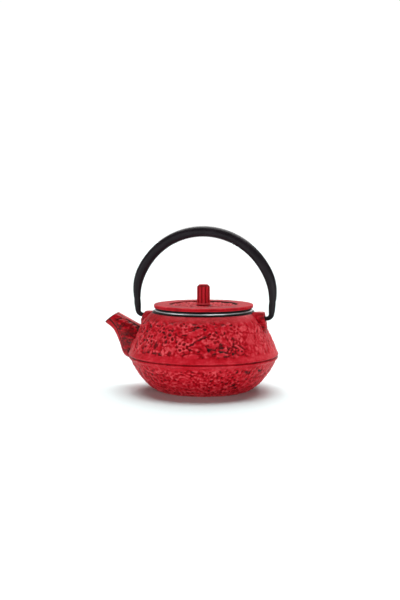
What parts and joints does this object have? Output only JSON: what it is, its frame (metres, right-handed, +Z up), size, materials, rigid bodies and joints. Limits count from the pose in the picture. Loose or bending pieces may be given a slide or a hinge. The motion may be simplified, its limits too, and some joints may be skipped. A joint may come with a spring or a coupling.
{
  "type": "cast iron teapot",
  "caption": "Squashed double-cone cast iron teapot with a stub spout, a flat lid with a fluted knob, a lift-out mesh infuser and a swinging bail handle.",
  "frame": {"origin": "centre of the pot's flat base", "axes": "+Z up out of the mouth, the spout points to -X, the bail's hinge line runs along X"},
  "size_m": [0.1738, 0.1444, 0.1567],
  "materials": {
    "red_enamel": "satin red enamel over textured cast iron, worn dark in the recesses",
    "stainless_steel": "polished pressed stainless sheet",
    "stainless_mesh": "fine woven stainless mesh",
    "black_coating": "satin black coating on steel"
  },
  "bodies": {
    "pot": {"pot_body": "red_enamel"},
    "infuser": {"infuser_rim": "stainless_steel", "infuser_mesh_wall": "stainless_mesh", "infuser_mesh_floor": "stainless_mesh", "infuser_base_ring": "stainless_steel"},
    "lid": {"lid_plate": "red_enamel", "lid_knob": "red_enamel", "knob_washer": "stainless_steel"},
    "handle": {"handle_grip": "black_coating", "handle_hook_front": "black_coating", "handle_hook_rear": "black_coating"}
  },
  "joints": [
    {"name": "handle_swing", "type": "hinge", "parent": "pot", "child": "handle", "pos_m": [0, 0, 0.07], "axis": [1, 0, 0], "range_deg": [-111, 111]},
    {"name": "infuser_lift", "type": "slide", "parent": "pot", "child": "infuser", "axis": [0, 0, 1], "range_m": [0, 0.044]},
    {"name": "lid_lift", "type": "slide", "parent": "infuser", "child": "lid", "axis": [0, 0, 1], "range_m": [0, 0.04]}
  ]
}
